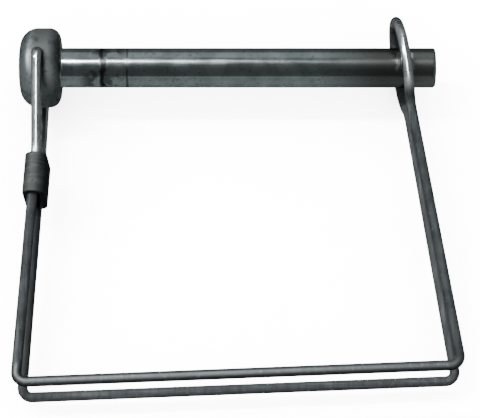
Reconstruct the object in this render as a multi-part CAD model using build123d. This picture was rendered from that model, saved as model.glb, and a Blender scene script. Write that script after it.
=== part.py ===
from build123d import *
import math
import os

# Hitch pin with a square double-wire lock, lying flat as it rests.
# Frame: the origin is on the pin's axis at the head's bearing face, +X runs along the pin to its free
# end, +Z is up along the cross hole, and the wire's far bar lies towards -Y. All sizes are in mm.

# Pin
pin_diameter = 9.525            # 3/8 in
pin_length = 89.75              # bearing face of the head to the free end
tip_edge_radius = 0.7
head_diameter = 19.1
head_thickness = 9.6
head_crown_radius = 4.3         # rounding of the head's outer edge
head_shoulder_radius = 2.6      # rounding of the edge on the bearing face
neck_fillet_radius = 0.5        # shank to bearing face

# Cross hole in the head
hole_from_bearing_face = 4.8
hole_clearance = 0.06           # around the wire, each side

# Wire
wire_diameter = 2.4
wire_in_hole = 6.0              # straight end of the wire inside the head
head_clearance = 0.5            # between the head's rim and the wire that passes it
mouth_bend_radius = 1.9         # all bend radii are to the wire's centreline
corner_bend_radius = 2.2
neck_bend_radius = 4.0
eye_radius = 10.9

# Where the wire goes, in the plane of the square
sleeve_x = -4.9                 # middle of the sleeve
short_leg_corner_x = -7.25
short_leg_reach = 79.6          # pin's axis to the short leg's corner
long_leg_corner_x = 93.3
long_leg_reach = 75.4           # pin's axis to the long leg's corner
eye_x = 81.8                    # where the eye's centre lies along the pin
eye_offset = 0.3                # eye's centre to the pin's axis
neck_reach = 14.0               # pin's axis to the place where the long leg's spacing is measured

# Spacing of the two runs, centre to centre
sleeve_spacing = 8.5
sleeve_stagger = 0.4            # the runs lie a little diagonal in the sleeve
bar_spacing = 14.5
neck_spacing = 7.9

# Sleeve
sleeve_top = 23.8               # pin's axis to the sleeve's upper end
sleeve_length = 9.9
sleeve_entry = 1.5              # the runs turn into line this far above the sleeve
sleeve_exit = 1.0               # and out of line this far below it
sleeve_wall = 1.2
sleeve_clearance = 0.02         # between a wire and the sleeve's inside
sleeve_edge_radius = 0.3

# Worked out from the sizes above
shank_radius = pin_diameter / 2
head_radius = head_diameter / 2
wire_radius = wire_diameter / 2
hole_radius = wire_radius + hole_clearance
entry_reach = sleeve_top - sleeve_entry
sleeve_end = sleeve_top + sleeve_length
exit_reach = sleeve_end + sleeve_exit
sleeve_middle = sleeve_top + sleeve_length / 2
short_leg_lean = (sleeve_x - short_leg_corner_x) / (short_leg_reach - sleeve_middle)


def wire_past_head():
    """The height of the wire's corner outside the hole, and the height where its bend starts.

    Its line from the sleeve stays clear of the head's round rim by the head clearance.
    """
    line_radius = head_radius + head_clearance + wire_radius
    entry_height = sleeve_spacing / 2
    to_entry = math.hypot(entry_reach, entry_height)
    fall = math.asin(line_radius / to_entry) - math.atan2(entry_height, entry_reach)
    corner_height = entry_height + entry_reach * math.tan(fall)
    bend_start = corner_height - mouth_bend_radius * math.tan(math.pi / 4 + fall / 2)
    return corner_height, bend_start


def headed_pin():
    """The shank and its thick rounded head, turned about X, with the cross hole through the head."""
    _, bend_start = wire_past_head()
    mouth_depth = head_radius - bend_start + wire_radius
    with BuildPart() as pin:
        with BuildSketch(Plane.XY):
            with BuildLine():
                FilletPolyline(
                    (-head_thickness, 0),
                    (-head_thickness, head_radius),
                    (0, head_radius),
                    (0, shank_radius),
                    (pin_length, shank_radius),
                    (pin_length, 0),
                    radius=[head_crown_radius, head_shoulder_radius, neck_fillet_radius, tip_edge_radius],
                )
                Line((pin_length, 0), (-head_thickness, 0))
            make_face()
        revolve(axis=Axis.X)
        with Locations((-hole_from_bearing_face, 0, 0)):
            Cylinder(hole_radius, head_diameter + wire_diameter, mode=Mode.SUBTRACT)
        for up in (1, -1):
            mouth = Plane((-hole_from_bearing_face, 0, up * bend_start), x_dir=(1, 0, 0), z_dir=(0, 0, up))
            with Locations(mouth):
                Cone(
                    hole_radius,
                    hole_radius + mouth_depth,
                    mouth_depth,
                    align=(Align.CENTER, Align.CENTER, Align.MIN),
                    mode=Mode.SUBTRACT,
                )
    return pin.part


def short_leg_x(reach):
    """Where the short leg's middle plane lies at a distance below the pin's axis."""
    return sleeve_x - short_leg_lean * (reach - sleeve_middle)


def long_leg_plane():
    """The plane of the long leg and the eye: its x runs up the leg and its y is up."""
    rise = long_leg_reach + eye_offset
    lean = eye_x - long_leg_corner_x
    return Plane((eye_x, eye_offset, 0), x_dir=(lean, rise, 0), z_dir=(rise, -lean, 0))


def bend_radius(before, corner, after, tangent):
    """The radius of a bend that starts and ends at a distance from its corner point."""
    turn = (Vector(corner) - Vector(before)).get_angle(Vector(after) - Vector(corner))
    return tangent / math.tan(math.radians(turn) / 2)


def run_from_hole(side):
    """Corner points and bend radii of one run, from its end in the hole to the long leg's corner."""
    offset = -side * sleeve_stagger / 2
    in_sleeve = side * sleeve_spacing / 2
    at_bar = side * bar_spacing / 2
    corner_height, _ = wire_past_head()
    hole_end = (-hole_from_bearing_face, 0, side * (head_radius - wire_in_hole))
    mouth = (-hole_from_bearing_face, 0, side * corner_height)
    entry = (short_leg_x(entry_reach) + offset, -entry_reach, in_sleeve)
    leave = (short_leg_x(exit_reach) + offset, -exit_reach, in_sleeve)
    short_corner = (short_leg_corner_x, -short_leg_reach, at_bar)
    long_corner = (long_leg_corner_x, -long_leg_reach, at_bar)
    radii = [
        mouth_bend_radius,
        bend_radius(mouth, entry, leave, sleeve_entry),
        bend_radius(entry, leave, short_corner, sleeve_exit),
        corner_bend_radius,
        corner_bend_radius,
    ]
    return [hole_end, mouth, entry, leave, short_corner, long_corner], radii


def neck_joint():
    """The eye's meeting with the leg, in the leg's plane.

    The leg's line, bent outwards by the neck radius, touches the eye's circle from outside. Returns the
    place where the line ends, the middle of the neck's bend and the place where the circle starts.
    """
    corner = (-math.hypot(long_leg_reach + eye_offset, eye_x - long_leg_corner_x), bar_spacing / 2)
    measured = (-(neck_reach + eye_offset), neck_spacing / 2)
    length = math.hypot(measured[0] - corner[0], measured[1] - corner[1])
    along = ((measured[0] - corner[0]) / length, (measured[1] - corner[1]) / length)
    outward = (-along[1], along[0])
    base = (corner[0] + neck_bend_radius * outward[0], corner[1] + neck_bend_radius * outward[1])
    reach = -(base[0] * along[0] + base[1] * along[1])
    off_line = base[0] * outward[0] + base[1] * outward[1]
    travel = reach - math.sqrt((eye_radius + neck_bend_radius) ** 2 - off_line**2)
    centre = (base[0] + travel * along[0], base[1] + travel * along[1])
    distance = math.hypot(*centre)
    inward = (-centre[0] / distance, -centre[1] / distance)
    line_end = (centre[0] - neck_bend_radius * outward[0], centre[1] - neck_bend_radius * outward[1])
    circle_start = (centre[0] + neck_bend_radius * inward[0], centre[1] + neck_bend_radius * inward[1])
    middle = (inward[0] - outward[0], inward[1] - outward[1])
    scale = neck_bend_radius / math.hypot(*middle)
    return line_end, (centre[0] + middle[0] * scale, centre[1] + middle[1] * scale), circle_start


def bail_wire():
    """One round wire: hole, sleeve, short leg, bar, long leg and eye, and the same way back below."""
    plane = long_leg_plane()
    line_end, bend_middle, circle_start = neck_joint()

    def place(point, side):
        return plane.from_local_coords(Vector(point[0], side * point[1], 0))

    runs = []
    for side in (1, -1):
        points, radii = run_from_hole(side)
        runs.append(FilletPolyline(*points, place(line_end, side), radius=radii))
    eye = [
        ThreePointArc(place(line_end, 1), place(bend_middle, 1), place(circle_start, 1)),
        ThreePointArc(place(circle_start, 1), place((eye_radius, 0), 1), place(circle_start, -1)),
        ThreePointArc(place(circle_start, -1), place(bend_middle, -1), place(line_end, -1)),
    ]
    path = Wire([*runs[0].edges(), *eye, *runs[1].edges()])
    with BuildPart() as wire:
        with BuildSketch(Plane((-hole_from_bearing_face, 0, head_radius - wire_in_hole))):
            Circle(wire_radius)
        sweep(path=path)
    return wire.part


def crimp_sleeve():
    """A short tube flattened to a rounded oblong round both runs, in line with the short leg."""
    inner_width = wire_diameter + sleeve_stagger + 2 * sleeve_clearance
    inner_height = wire_diameter + sleeve_spacing + 2 * sleeve_clearance
    inner_corner = wire_radius + sleeve_clearance
    end = Plane(
        (short_leg_x(sleeve_end), -sleeve_end, 0),
        x_dir=(1, -short_leg_lean, 0),
        z_dir=(short_leg_lean, 1, 0),
    )
    with BuildPart() as sleeve:
        with BuildSketch(end):
            RectangleRounded(
                inner_width + 2 * sleeve_wall, inner_height + 2 * sleeve_wall, inner_corner + sleeve_wall
            )
            RectangleRounded(inner_width, inner_height, inner_corner, mode=Mode.SUBTRACT)
        extrude(amount=sleeve_length)
        ends = sleeve.faces().filter_by(GeomType.PLANE).sort_by(Axis.Y)
        fillet((ends[0].outer_wire().edges() + ends[-1].outer_wire().edges()), sleeve_edge_radius)
    return sleeve.part


def main():
    os.makedirs("parts", exist_ok=True)
    pieces = {"headed_pin": headed_pin(), "bail_wire": bail_wire(), "crimp_sleeve": crimp_sleeve()}
    for name, piece in pieces.items():
        piece.label = name
        export_step(piece, f"parts/{name}.step")
        print(name, "valid", piece.is_valid, "volume", round(piece.volume, 1))


main()
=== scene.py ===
import bpy
from mathutils import Matrix, Vector


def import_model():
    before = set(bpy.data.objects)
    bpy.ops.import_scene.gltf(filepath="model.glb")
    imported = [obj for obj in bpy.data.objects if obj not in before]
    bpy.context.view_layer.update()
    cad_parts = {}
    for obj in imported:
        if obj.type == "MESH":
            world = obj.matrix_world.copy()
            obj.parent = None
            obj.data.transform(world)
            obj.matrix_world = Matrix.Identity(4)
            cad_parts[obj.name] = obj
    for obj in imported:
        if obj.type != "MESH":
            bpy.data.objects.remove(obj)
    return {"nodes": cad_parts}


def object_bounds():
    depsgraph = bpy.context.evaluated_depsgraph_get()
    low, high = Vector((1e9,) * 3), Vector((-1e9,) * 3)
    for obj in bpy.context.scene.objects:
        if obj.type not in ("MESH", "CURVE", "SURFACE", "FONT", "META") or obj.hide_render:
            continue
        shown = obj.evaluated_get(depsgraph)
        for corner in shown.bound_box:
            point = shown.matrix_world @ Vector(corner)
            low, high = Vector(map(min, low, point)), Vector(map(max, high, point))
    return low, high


# Camera, fitted to the photograph: place and clipping in metres, turns in radians, lens and sensor in mm
CAMERA_PLACE = (0.04806, -0.20427, 0.48777)
CAMERA_TILT = 0.3325
CAMERA_TURN = 0.0101
CAMERA_ROLL = 0.0042
FOCAL_LENGTH = 165.0
SENSOR_WIDTH = 36.0
NEAREST_SEEN = 0.01
FARTHEST_SEEN = 10.0

# The floor, in metres, and the brightness of the pale surroundings that light it
FLOOR_HALF_SIDE = 2.5
FLOOR_GAP = 0.0001
FLOOR_TONES = ((0.88, 0.88, 0.88, 1), (0.9, 0.9, 0.9, 1))
PALE_ROOM = 16.0

# The dim room that the steel reflects instead: its colour, and how bright each part of it is
ROOM_COLOR = (0.93, 1.0, 1.0, 1)
FLOOR_IN_FRONT = 0.42
CEILING = 0.11
BACK_WALL = 0.62
FLOOR_BEHIND = 0.2
LEFT_WALL = 0.6
RIGHT_WALL = 0.35

# Where these parts meet: degrees round the X axis from straight up, positive towards +Y
FRONT_HORIZON = -74.0
WALL_TOP = 38.0
WALL_FOOT = 78.0

# The side walls fade in over these parts of a direction's x
LEFT_FADE = (-0.6, -0.25)
RIGHT_FADE = (0.25, 0.6)

# Lamps above the part, in metres and watts: the tube lies along the pin, the strip square to it
TUBE_PLACE = (-0.45, 0.21, 0.735)
TUBE_SIZE = (0.75, 0.055)
TUBE_POWER = 42.0
STRIP_PLACE = (-0.02, 0.0, 0.7)
STRIP_SIZE = (0.02, 1.3)
STRIP_POWER = 31.0

# Wear along the pin, in metres from the head's bearing face; the rubbed rings also carry a painted glint. A
# pair is where a change starts and ends.
CROWN_FADE = (-0.0085, -0.0056)
HEAD_FADE = (-0.0004, 0.0006)
DARK_RING = 0.0104
STAIN = 0.0105
SCRATCH = 0.0161
GRIME_FADE = (0.058, 0.078)
RUBBED_RINGS_WITH_GLINT = (0.0803, 0.0842)
PAST_EYE = (0.082, 0.083)
WANDER = 0.0006

# Wear and painted light up and across the pin, in metres from its axis: the strip on the shank's top that
# holds the rubbed rings' painted glint, and where painted light makes the head's side towards the bar
# lighter
SHANK_TOP_GLINT_STRIP = (0.0039, 0.0046)
HEAD_PAINTED_LIGHT_FADE = (-0.006, -0.001)

# Colours and roughness of the pin
BLUED_DARK = (0.27, 0.305, 0.31, 1)
BLUED_LIGHT = (0.36, 0.4, 0.405, 1)
GRIME = (0.1, 0.105, 0.1, 1)
FREE_END = (0.16, 0.17, 0.165, 1)
# Painted shade and painted light: the head rim's far side and its lighter side towards the bar
HEAD_PAINTED_SHADE = (0.06, 0.065, 0.067, 1)
HEAD_PAINTED_LIGHT = (0.15, 0.163, 0.167, 1)
HEAD_BLOTCH = (0.02, 0.021, 0.021, 1)
CROWN = (0.2, 0.218, 0.223, 1)
CROWN_BLOTCH = (0.06, 0.064, 0.065, 1)
PIN_SPECK = (0.06, 0.062, 0.06, 1)
MARK_DIRT = (0.012, 0.012, 0.012, 1)
# Partly wear and partly a painted glint: bright steel of the rubbed rings on the shank's top
RUBBED_STEEL_GLINT = (0.5, 0.52, 0.5, 1)
SHANK_ROUGH = (0.14, 0.16)
GRIME_ROUGH = 0.24
HEAD_ROUGH = 0.75
CROWN_ROUGH = 0.22
MARK_ROUGH = 0.3
RUBBED_ROUGH = 0.16

# Wear along the wire, in metres: its rubbed parts by the head and on the eye, its bar and its two runs, the
# lower one lightened by painted light
BETWEEN_LEGS = 0.045
SHINE_BY_HEAD = (-0.026, -0.021)
SHINE_BY_EYE = (-0.0095, -0.0045)
EYE_TOP_FADE = (0.0, 0.004)
BAR_FADE = (-0.077, -0.073)
PAINTED_LIGHT_LOWER_RUN_FADE = (-0.004, 0.0)

# Colours and roughness of the wire
WIRE_DARK = (0.015, 0.0167, 0.0178, 1)
WIRE_LIGHT = (0.023, 0.0257, 0.027, 1)
# Painted light: a lighter tone that lifts the shaded lower run
PAINTED_LIGHT_LOWER_RUN = (0.032, 0.035, 0.0363, 1)
WIRE_STREAK = (0.065, 0.0705, 0.0727, 1)
UPPER_BAR = (0.023, 0.025, 0.0257, 1)
SHINE_DARK = (0.26, 0.275, 0.28, 1)
SHINE_LIGHT = (0.34, 0.355, 0.36, 1)
WIRE_SPECK = (0.05, 0.052, 0.052, 1)
WIRE_ROUGH = 0.82
UPPER_BAR_ROUGH = 0.5
SHINE_ROUGH = 0.2

# Colours and roughness of the sleeve
SLEEVE_DARK = (0.025, 0.027, 0.027, 1)
SLEEVE_LIGHT = (0.038, 0.041, 0.041, 1)
PRESS_MARK = (0.065, 0.07, 0.0705, 1)
SLEEVE_SPECK = (0.02, 0.021, 0.021, 1)
SLEEVE_ROUGH = (0.66, 0.76)

# Colour of the steel's reflections at a grazing angle
EDGE_TINT = (0.4, 0.42, 0.43, 1)


def node_tree(owner):
    owner.use_nodes = True
    tree = owner.node_tree
    tree.nodes.clear()
    return tree


class Builder:
    """Short names for making and joining nodes."""

    def __init__(self, tree):
        self.tree = tree

    def add(self, kind, **settings):
        node = self.tree.nodes.new(kind)
        for key, value in settings.items():
            setattr(node, key, value)
        return node

    def put(self, socket, value):
        if isinstance(value, bpy.types.NodeSocket):
            self.tree.links.new(value, socket)
        else:
            socket.default_value = value

    def coordinates(self, kind):
        return self.add("ShaderNodeTexCoord").outputs[kind]

    def axes(self, kind="Object"):
        split = self.add("ShaderNodeSeparateXYZ")
        self.put(split.inputs["Vector"], self.coordinates(kind))
        return split.outputs["X"], split.outputs["Y"], split.outputs["Z"]

    def noise(self, scale, detail=3.0, roughness=0.55, stretch=(1, 1, 1)):
        mapping = self.add("ShaderNodeMapping")
        self.put(mapping.inputs["Vector"], self.coordinates("Object"))
        mapping.inputs["Scale"].default_value = stretch
        node = self.add("ShaderNodeTexNoise")
        self.put(node.inputs["Vector"], mapping.outputs["Vector"])
        node.inputs["Scale"].default_value = scale
        node.inputs["Detail"].default_value = detail
        node.inputs["Roughness"].default_value = roughness
        return node.outputs["Fac"]

    def band(self, value, low, high, to_low=0.0, to_high=1.0):
        """Maps low..high of a value smoothly to to_low..to_high, and holds it outside."""
        node = self.add("ShaderNodeMapRange", interpolation_type="SMOOTHSTEP")
        self.put(node.inputs["Value"], value)
        for key, number in (("From Min", low), ("From Max", high), ("To Min", to_low), ("To Max", to_high)):
            self.put(node.inputs[key], number)
        return node.outputs["Result"]

    def edge(self, value, place, soft):
        """Zero below a place along a value and one above it, changing within soft on each side."""
        return self.band(value, place - soft, place + soft)

    def math(self, operation, a, b=0.0):
        node = self.add("ShaderNodeMath", operation=operation)
        self.put(node.inputs[0], a)
        self.put(node.inputs[1], b)
        return node.outputs["Value"]

    def ring(self, value, centre, half_width, soft):
        """One within half_width of a place along an axis, fading to zero over soft."""
        away = self.math("ABSOLUTE", self.math("SUBTRACT", value, centre))
        return self.band(away, half_width, half_width + soft, 1.0, 0.0)

    def mix(self, factor, a, b):
        return self.mixed("RGBA", factor, a, b)

    def blend(self, factor, a, b):
        return self.mixed("FLOAT", factor, a, b)

    def mixed(self, data_type, factor, a, b):
        """From a to b as the factor goes from zero to one."""
        node = self.add("ShaderNodeMix", data_type=data_type)
        self.put(node.inputs["Factor"], factor)
        self.put(node.inputs["A"], a)
        self.put(node.inputs["B"], b)
        return node.outputs["Result"]

    def bump(self, height, strength, distance, normal=None):
        node = self.add("ShaderNodeBump")
        self.put(node.inputs["Height"], height)
        node.inputs["Strength"].default_value = strength
        node.inputs["Distance"].default_value = distance
        if normal is not None:
            self.put(node.inputs["Normal"], normal)
        return node.outputs["Normal"]


def metal(name, build):
    """A metal whose colour, roughness and normal come from build(b)."""
    material = bpy.data.materials.new(name)
    b = Builder(node_tree(material))
    color, roughness, normal = build(b)
    shader = b.add("ShaderNodeBsdfPrincipled")
    b.put(shader.inputs["Base Color"], color)
    b.put(shader.inputs["Roughness"], roughness)
    b.put(shader.inputs["Normal"], normal)
    shader.inputs["Metallic"].default_value = 1.0
    shader.inputs["Specular Tint"].default_value = EDGE_TINT
    output = b.add("ShaderNodeOutputMaterial")
    b.put(output.inputs["Surface"], shader.outputs["BSDF"])
    return material


def dark_marks(b, x, along, cloud):
    """Where the dark ring near the head, the stain round it and the thin scratch are, from 0 to 1."""
    ring = b.math("MULTIPLY", b.ring(along, DARK_RING, 0.0004, 0.0006), 0.95)
    scratch = b.math("MULTIPLY", b.ring(x, SCRATCH, 0.0001, 0.0003), 0.7)
    stain = b.math("MULTIPLY", b.band(cloud, 0.5, 0.62), b.ring(x, STAIN, 0.003, 0.004))
    stain = b.math("MULTIPLY", stain, 0.75)
    return b.math("MAXIMUM", b.math("MAXIMUM", ring, scratch), stain)


def rubbed_rings_with_painted_glint(b, along, z):
    """Where the eye has rubbed two rings into the shank, kept to a strip on its top so they act as a
    painted glint, from 0 to 1.
    """
    rings = b.math("MAXIMUM", *[b.ring(along, place, 0.0003, 0.0004) for place in RUBBED_RINGS_WITH_GLINT])
    return b.math("MULTIPLY", rings, b.band(z, *SHANK_TOP_GLINT_STRIP))


def head_tones(b, y):
    """The head's dull rim, made lighter towards the bar by painted light, and its rubbed crown, both with
    dark blotches.
    """
    blotch = b.noise(420.0, detail=5.0, roughness=0.65)
    # Painted light and shade: the rim's side towards the bar gets a lighter tone than its far side
    rim = b.mix(b.band(y, *HEAD_PAINTED_LIGHT_FADE, 1.0, 0.0), HEAD_PAINTED_SHADE, HEAD_PAINTED_LIGHT)
    rim = b.mix(b.band(blotch, 0.48, 0.66, 0.0, 0.6), rim, HEAD_BLOTCH)
    crown = b.mix(b.band(blotch, 0.5, 0.68, 0.0, 0.5), CROWN, CROWN_BLOTCH)
    return rim, crown


def pin_steel(b):
    """Blued shank with dark marks near the head, a dull far end and rubbed rings carrying a painted glint,
    and a mottled head whose rim has painted light and shade.
    """
    x, y, z = b.axes()
    cloud = b.noise(220.0, detail=4.0)
    speck = b.noise(1300.0, detail=2.0)
    lines = b.noise(1400.0, detail=2.0, stretch=(0.04, 1, 1))
    along = b.math("ADD", x, b.band(cloud, 0.3, 0.7, -WANDER, WANDER))
    head = b.band(along, *HEAD_FADE, 1.0, 0.0)
    crown = b.band(x, *CROWN_FADE, 1.0, 0.0)
    grime = b.band(along, *GRIME_FADE)
    dark = dark_marks(b, x, along, cloud)
    # The rubbed rings are partly wear and partly a painted glint on the shank's top
    rubbed = rubbed_rings_with_painted_glint(b, along, z)
    rim_tone, crown_tone = head_tones(b, y)

    tone = b.mix(b.band(cloud, 0.3, 0.7), BLUED_DARK, BLUED_LIGHT)
    tone = b.mix(grime, tone, GRIME)
    tone = b.mix(b.band(x, *PAST_EYE), tone, FREE_END)
    # The head rim tone carries painted light and painted shade as well as blotches
    tone = b.mix(head, tone, rim_tone)
    tone = b.mix(crown, tone, crown_tone)
    tone = b.mix(b.band(speck, 0.58, 0.7, 0.0, 0.35), tone, PIN_SPECK)
    tone = b.mix(dark, tone, MARK_DIRT)
    # Painted glint: bright rubbed steel only in the top strip of the shank
    tone = b.mix(rubbed, tone, RUBBED_STEEL_GLINT)

    rough = b.band(cloud, 0.35, 0.65, *SHANK_ROUGH)
    rough = b.math("ADD", rough, b.band(lines, 0.4, 0.7, 0.0, 0.03))
    rough = b.blend(grime, rough, GRIME_ROUGH)
    rough = b.blend(head, rough, HEAD_ROUGH)
    rough = b.blend(crown, rough, CROWN_ROUGH)
    rough = b.blend(dark, rough, MARK_ROUGH)
    rough = b.blend(rubbed, rough, RUBBED_ROUGH)

    normal = b.bump(lines, 0.08, 0.00002)
    normal = b.bump(cloud, 0.02, 0.0001, normal)
    return tone, rough, normal


def rubbed_wire(b, x, y, z):
    """Where the wire is rubbed bright, by the head and on the upper half of the eye, from 0 to 1."""
    far_side = b.edge(x, BETWEEN_LEGS, 0.001)
    head_side = b.math("SUBTRACT", 1.0, far_side)
    by_head = b.math("MULTIPLY", b.band(y, *SHINE_BY_HEAD), head_side)
    by_eye = b.math("MULTIPLY", b.band(y, *SHINE_BY_EYE), far_side)
    by_eye = b.math("MULTIPLY", by_eye, b.band(z, *EYE_TOP_FADE))
    return b.math("MAXIMUM", by_head, by_eye)


def dull_wire(b, z, cloud, bar, upper_bar):
    """The dull colour of the legs and the bar, streaked along the wire, with painted light making the
    shaded lower run lighter.
    """
    tone = b.mix(b.band(cloud, 0.35, 0.65), WIRE_DARK, WIRE_LIGHT)
    # Painted light: the shaded lower run gets a lighter tone
    tone = b.mix(b.band(z, *PAINTED_LIGHT_LOWER_RUN_FADE, 0.7, 0.0), tone, PAINTED_LIGHT_LOWER_RUN)
    along_legs = b.noise(1000.0, stretch=(1, 0.05, 1))
    along_bar = b.noise(1000.0, stretch=(0.05, 1, 1))
    streak = b.blend(bar, along_legs, along_bar)
    tone = b.mix(b.band(streak, 0.5, 0.7, 0.0, 0.5), tone, WIRE_STREAK)
    return b.mix(upper_bar, tone, UPPER_BAR)


def wire_steel(b):
    """Dark spring wire, dull along the legs and the bar and rubbed bright by the head and on the eye."""
    x, y, z = b.axes()
    cloud = b.noise(200.0, detail=4.0)
    speck = b.noise(1500.0, detail=2.0)
    lines = b.noise(1100.0, detail=2.0, stretch=(1, 0.08, 1))
    bright = rubbed_wire(b, x, y, z)
    bar = b.band(y, *BAR_FADE, 1.0, 0.0)
    upper_bar = b.math("MULTIPLY", bar, b.edge(z, 0.0, 0.001))

    shine = b.mix(b.band(cloud, 0.35, 0.65), SHINE_DARK, SHINE_LIGHT)
    tone = b.mix(bright, dull_wire(b, z, cloud, bar, upper_bar), shine)
    tone = b.mix(b.band(speck, 0.58, 0.72, 0.0, 0.5), tone, WIRE_SPECK)

    rough = b.blend(bright, b.blend(upper_bar, WIRE_ROUGH, UPPER_BAR_ROUGH), SHINE_ROUGH)
    rough = b.math("ADD", rough, b.band(lines, 0.4, 0.7, 0.0, 0.08))

    normal = b.bump(lines, 0.2, 0.00003)
    normal = b.bump(cloud, 0.1, 0.0001, normal)
    return tone, rough, normal


def sleeve_steel(b):
    """Dark satin tube steel with faint press marks across it."""
    cloud = b.noise(260.0, detail=4.0)
    speck = b.noise(1600.0, detail=2.0)
    press = b.noise(1400.0, stretch=(0.08, 1, 0.08))
    tone = b.mix(b.band(cloud, 0.35, 0.65), SLEEVE_DARK, SLEEVE_LIGHT)
    tone = b.mix(b.band(press, 0.5, 0.66, 0.0, 0.5), tone, PRESS_MARK)
    tone = b.mix(b.band(speck, 0.56, 0.7, 0.0, 0.6), tone, SLEEVE_SPECK)
    rough = b.band(cloud, 0.35, 0.65, *SLEEVE_ROUGH)
    normal = b.bump(press, 0.35, 0.00005)
    normal = b.bump(speck, 0.2, 0.00004, normal)
    normal = b.bump(cloud, 0.15, 0.00012, normal)
    return tone, rough, normal


def dress(frame):
    """Each CAD node keeps its shape and gets its own finish."""
    finishes = {
        "headed_pin": metal("worn_pin_steel", pin_steel),
        "bail_wire": metal("worn_wire_steel", wire_steel),
        "crimp_sleeve": metal("worn_sleeve_steel", sleeve_steel),
    }
    for name, material in finishes.items():
        mesh = frame["nodes"][name].data
        for slot in range(max(1, len(mesh.materials))):
            if slot < len(mesh.materials):
                mesh.materials[slot] = material
            else:
                mesh.materials.append(material)


def floor(height):
    """A plain pale floor just under the part. The steel doesn't reflect it, but reflects the dim room."""
    half = FLOOR_HALF_SIDE
    corners = [(-half, -half, height), (half, -half, height), (half, half, height), (-half, half, height)]
    mesh = bpy.data.meshes.new("floor")
    mesh.from_pydata(corners, [], [(0, 1, 2, 3)])
    sheet = bpy.data.objects.new("floor", mesh)
    bpy.context.collection.objects.link(sheet)
    material = bpy.data.materials.new("pale_floor")
    b = Builder(node_tree(material))
    shader = b.add("ShaderNodeBsdfPrincipled")
    b.put(shader.inputs["Base Color"], b.mix(b.band(b.noise(60.0), 0.3, 0.7), *FLOOR_TONES))
    shader.inputs["Roughness"].default_value = 0.9
    shader.inputs["Specular IOR Level"].default_value = 0.1
    output = b.add("ShaderNodeOutputMaterial")
    b.put(output.inputs["Surface"], shader.outputs["BSDF"])
    mesh.materials.append(material)
    sheet.visible_glossy = False


def softbox(name, place, size, power):
    """A rectangular lamp that faces the X axis and isn't seen by the camera."""
    data = bpy.data.lights.new(name, "AREA")
    data.shape = "RECTANGLE"
    data.size, data.size_y = size
    data.energy = power
    lamp = bpy.data.objects.new(name, data)
    bpy.context.collection.objects.link(lamp)
    lamp.visible_camera = False
    lamp.location = place
    lamp.rotation_mode = "QUATERNION"
    to_axis = Vector((place[0], 0, 0)) - Vector(place)
    lamp.rotation_quaternion = to_axis.to_track_quat("-Z", "Y")
    return lamp


def room_level(b):
    """How bright the room is in each direction, as the steel reflects it."""
    x, y, z = b.axes("Generated")
    angle = b.math("DEGREES", b.math("ARCTAN2", y, z))
    level = b.blend(b.edge(angle, FRONT_HORIZON, 3.0), FLOOR_IN_FRONT, CEILING)
    level = b.blend(b.edge(angle, WALL_TOP, 8.0), level, BACK_WALL)
    level = b.blend(b.edge(angle, WALL_FOOT, 3.0), level, FLOOR_BEHIND)
    level = b.blend(b.band(x, *RIGHT_FADE), level, RIGHT_WALL)
    return b.blend(b.band(x, *LEFT_FADE, 1.0, 0.0), level, LEFT_WALL)


def surroundings():
    """Pale all round for the floor, and a dim room for what the steel reflects."""
    world = bpy.data.worlds.new("room")
    world.cycles.sampling_method = "NONE"
    bpy.context.scene.world = world
    b = Builder(node_tree(world))
    pale = b.add("ShaderNodeBackground")
    pale.inputs["Color"].default_value = (1, 1, 1, 1)
    pale.inputs["Strength"].default_value = PALE_ROOM
    dim = b.add("ShaderNodeBackground")
    dim.inputs["Color"].default_value = ROOM_COLOR
    b.put(dim.inputs["Strength"], room_level(b))
    path = b.add("ShaderNodeLightPath")
    either = b.add("ShaderNodeMixShader")
    b.put(either.inputs[0], path.outputs["Is Glossy Ray"])
    b.put(either.inputs[1], pale.outputs["Background"])
    b.put(either.inputs[2], dim.outputs["Background"])
    output = b.add("ShaderNodeOutputWorld")
    b.put(output.inputs["Surface"], either.outputs[0])


def lamps(wire):
    """The tube lights the whole part, and the strip lights the wire alone."""
    softbox("tube", TUBE_PLACE, TUBE_SIZE, TUBE_POWER)
    strip = softbox("strip", STRIP_PLACE, STRIP_SIZE, STRIP_POWER)
    lit = bpy.data.collections.new("lit_by_strip")
    lit.objects.link(wire)
    strip.light_linking.receiver_collection = lit


def camera():
    data = bpy.data.cameras.new("camera")
    data.sensor_width = SENSOR_WIDTH
    data.lens = FOCAL_LENGTH
    data.clip_start = NEAREST_SEEN
    data.clip_end = FARTHEST_SEEN
    eye = bpy.data.objects.new("camera", data)
    bpy.context.collection.objects.link(eye)
    turned = Matrix.Rotation(CAMERA_TURN, 4, "Y") @ Matrix.Rotation(CAMERA_TILT, 4, "X")
    eye.matrix_world = Matrix.Translation(CAMERA_PLACE) @ turned @ Matrix.Rotation(CAMERA_ROLL, 4, "Z")
    bpy.context.scene.camera = eye


def main():
    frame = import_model()
    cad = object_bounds()
    camera()
    dress(frame)
    floor(cad[0].z - FLOOR_GAP)
    surroundings()
    lamps(frame["nodes"]["bail_wire"])


main()
